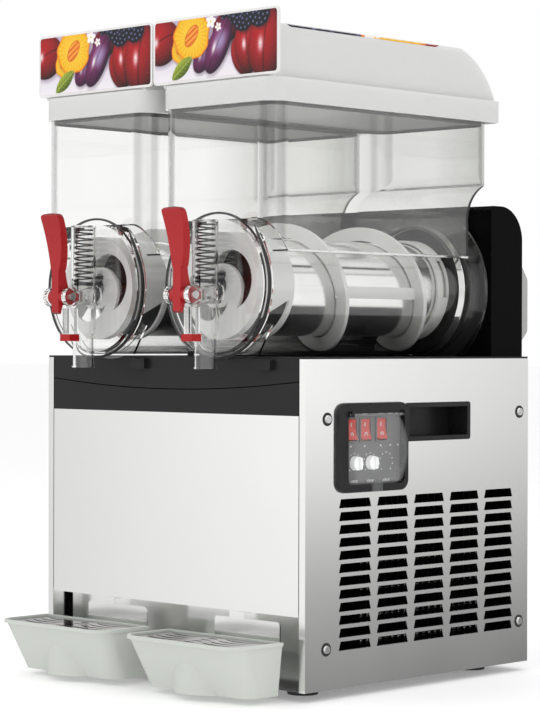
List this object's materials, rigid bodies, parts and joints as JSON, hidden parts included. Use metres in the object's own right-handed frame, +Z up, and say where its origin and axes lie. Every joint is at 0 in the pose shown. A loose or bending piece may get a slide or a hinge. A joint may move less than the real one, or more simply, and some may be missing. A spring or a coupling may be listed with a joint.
{
  "type": "slushie machine",
  "caption": "Twin-bowl countertop frozen drink machine: clear bowls with turning augers, lever taps, drip trays and a vented steel cabinet.",
  "frame": {"origin": "centre of the whole machine's footprint box, on the floor under the feet", "axes": "+Z up, -Y towards the taps and trays (the front), +X towards the side with the controls"},
  "size_m": [0.4154, 0.4836, 0.7072],
  "materials": {
    "stainless": "satin, brushed",
    "pan_steel": "plain galvanised",
    "foot_rubber": "matte",
    "trim_plastic": "fine texture",
    "screw_steel": "bright zinc",
    "bezel_plastic": "fine texture",
    "control_face": "printed film",
    "rocker_red": "lit",
    "knob_white": "gloss",
    "cover_clear": "clear",
    "tray_plastic": "satin",
    "grid_steel": "polished",
    "housing_black": "gloss",
    "rear_metal": "satin",
    "bowl_clear": "clear polycarbonate",
    "lid_white": "satin",
    "sign_face": "printed, gloss",
    "drum_steel": "bright brushed",
    "auger_white": "translucent",
    "shaft_steel": "turned",
    "nut_grey": "moulded",
    "gasket_rubber": "matte",
    "tap_clear": "clear polycarbonate",
    "piston_plastic": "moulded",
    "spring_steel": "wire",
    "lever_red": "moulded",
    "pin_steel": "polished",
    "collar_red": "moulded",
    "motor_metal": "cast",
    "compressor_black": "satin",
    "condenser_metal": "finned",
    "fan_plastic": "moulded",
    "copper": "copper tube",
    "cord_black": "matte"
  },
  "bodies": {
    "cabinet": {"base_pan": "pan_steel", "feet": "foot_rubber", "side_panel_right": "stainless", "side_panel_left": "stainless", "front_panel": "stainless", "lower_front_panel": "stainless", "front_trim": "trim_plastic", "top_deck": "trim_plastic", "back_panel": "stainless", "panel_screws": "screw_steel", "control_bezel": "bezel_plastic", "control_plate": "control_face", "handle_cups": "bezel_plastic", "tray_hangers": "stainless", "rear_housing": "housing_black", "rear_cover": "rear_metal", "drums": "drum_steel", "bowl_gaskets": "gasket_rubber", "gear_motors": "motor_metal", "compressor": "compressor_black", "condenser": "condenser_metal", "fan_motor": "motor_metal", "refrigerant_pipes": "copper", "power_cord": "cord_black"},
    "auger_left": {"auger_left": "auger_white", "drive_shaft_left": "shaft_steel", "auger_nut_left": "nut_grey"},
    "bowl_left": {"bowl_left": "bowl_clear", "tap_body_left": "tap_clear", "lever_pin_left": "pin_steel", "tap_collar_left": "collar_red", "tap_spring_left": "spring_steel"},
    "lid_left": {"lid_left": "lid_white", "lid_sign_left": "sign_face"},
    "lever_left": {"tap_lever_left": "lever_red"},
    "piston_left": {"tap_piston_left": "piston_plastic"},
    "tray_left": {"drip_tray_left": "tray_plastic"},
    "grid_left": {"drip_grid_left": "grid_steel"},
    "auger_right": {"auger_right": "auger_white", "drive_shaft_right": "shaft_steel", "auger_nut_right": "nut_grey"},
    "bowl_right": {"bowl_right": "bowl_clear", "tap_body_right": "tap_clear", "lever_pin_right": "pin_steel", "tap_collar_right": "collar_red", "tap_spring_right": "spring_steel"},
    "lid_right": {"lid_right": "lid_white", "lid_sign_right": "sign_face"},
    "lever_right": {"tap_lever_right": "lever_red"},
    "piston_right": {"tap_piston_right": "piston_plastic"},
    "tray_right": {"drip_tray_right": "tray_plastic"},
    "grid_right": {"drip_grid_right": "grid_steel"},
    "power_switch": {"power_switch": "rocker_red"},
    "left_switch": {"left_switch": "rocker_red"},
    "right_switch": {"right_switch": "rocker_red"},
    "left_knob": {"left_knob": "knob_white"},
    "right_knob": {"right_knob": "knob_white"},
    "control_cover": {"control_cover": "cover_clear"},
    "fan": {"fan_blade": "fan_plastic"}
  },
  "joints": [
    {"name": "auger_left_spin", "type": "hinge", "parent": "cabinet", "child": "auger_left", "pos_m": [-0.10029, 0.02975, 0.4255], "axis": [0, 1, 0], "continuous": true},
    {"name": "bowl_left_pull", "type": "slide", "parent": "cabinet", "child": "bowl_left", "axis": [0, -1, 0], "range_m": [0, 0.34]},
    {"name": "lid_left_lift", "type": "slide", "parent": "bowl_left", "child": "lid_left", "axis": [0, 0, 1], "range_m": [0, 0.12]},
    {"name": "lever_left_pull", "type": "hinge", "parent": "bowl_left", "child": "lever_left", "pos_m": [-0.10029, -0.22425, 0.415], "axis": [1, 0, 0], "range_deg": [0, 30]},
    {"name": "piston_left_lift", "type": "slide", "parent": "bowl_left", "child": "piston_left", "axis": [0, 0, 1], "range_m": [0, 0.0108], "deforming": ["tap_spring_left"]},
    {"name": "tray_left_slide", "type": "slide", "parent": "cabinet", "child": "tray_left", "axis": [0, -1, 0], "range_m": [0, 0.12]},
    {"name": "grid_left_lift", "type": "slide", "parent": "tray_left", "child": "grid_left", "axis": [0, 0, 1], "range_m": [0, 0.06]},
    {"name": "auger_right_spin", "type": "hinge", "parent": "cabinet", "child": "auger_right", "pos_m": [0.08971, 0.02975, 0.4255], "axis": [0, 1, 0], "continuous": true},
    {"name": "bowl_right_pull", "type": "slide", "parent": "cabinet", "child": "bowl_right", "axis": [0, -1, 0], "range_m": [0, 0.34]},
    {"name": "lid_right_lift", "type": "slide", "parent": "bowl_right", "child": "lid_right", "axis": [0, 0, 1], "range_m": [0, 0.12]},
    {"name": "lever_right_pull", "type": "hinge", "parent": "bowl_right", "child": "lever_right", "pos_m": [0.08971, -0.22425, 0.415], "axis": [1, 0, 0], "range_deg": [0, 30]},
    {"name": "piston_right_lift", "type": "slide", "parent": "bowl_right", "child": "piston_right", "axis": [0, 0, 1], "range_m": [0, 0.0108], "deforming": ["tap_spring_right"]},
    {"name": "tray_right_slide", "type": "slide", "parent": "cabinet", "child": "tray_right", "axis": [0, -1, 0], "range_m": [0, 0.12]},
    {"name": "grid_right_lift", "type": "slide", "parent": "tray_right", "child": "grid_right", "axis": [0, 0, 1], "range_m": [0, 0.06]},
    {"name": "power_switch_rock", "type": "hinge", "parent": "cabinet", "child": "power_switch", "pos_m": [0.18971, -0.07975, 0.276], "axis": [0, 1, 0], "range_deg": [0, 16]},
    {"name": "left_switch_rock", "type": "hinge", "parent": "cabinet", "child": "left_switch", "pos_m": [0.18971, -0.05825, 0.276], "axis": [0, 1, 0], "range_deg": [0, 16]},
    {"name": "right_switch_rock", "type": "hinge", "parent": "cabinet", "child": "right_switch", "pos_m": [0.18971, -0.03325, 0.276], "axis": [0, 1, 0], "range_deg": [0, 16]},
    {"name": "left_knob_turn", "type": "hinge", "parent": "cabinet", "child": "left_knob", "pos_m": [0.19471, -0.07425, 0.2413], "axis": [1, 0, 0], "range_deg": [-135, 135]},
    {"name": "right_knob_turn", "type": "hinge", "parent": "cabinet", "child": "right_knob", "pos_m": [0.19471, -0.04975, 0.2413], "axis": [1, 0, 0], "range_deg": [-135, 135]},
    {"name": "control_cover_flip", "type": "hinge", "parent": "cabinet", "child": "control_cover", "pos_m": [0.20071, -0.04725, 0.2916], "axis": [0, -1, 0], "range_deg": [0, 110]},
    {"name": "fan_spin", "type": "hinge", "parent": "cabinet", "child": "fan", "pos_m": [0.12271, 0.04975, 0.122], "axis": [1, 0, 0], "continuous": true}
  ],
  "couplings": [
    {"joint": "piston_left_lift", "follows": "lever_left_pull", "m_per_rad": 0.02053},
    {"joint": "piston_right_lift", "follows": "lever_right_pull", "m_per_rad": 0.02053}
  ]
}
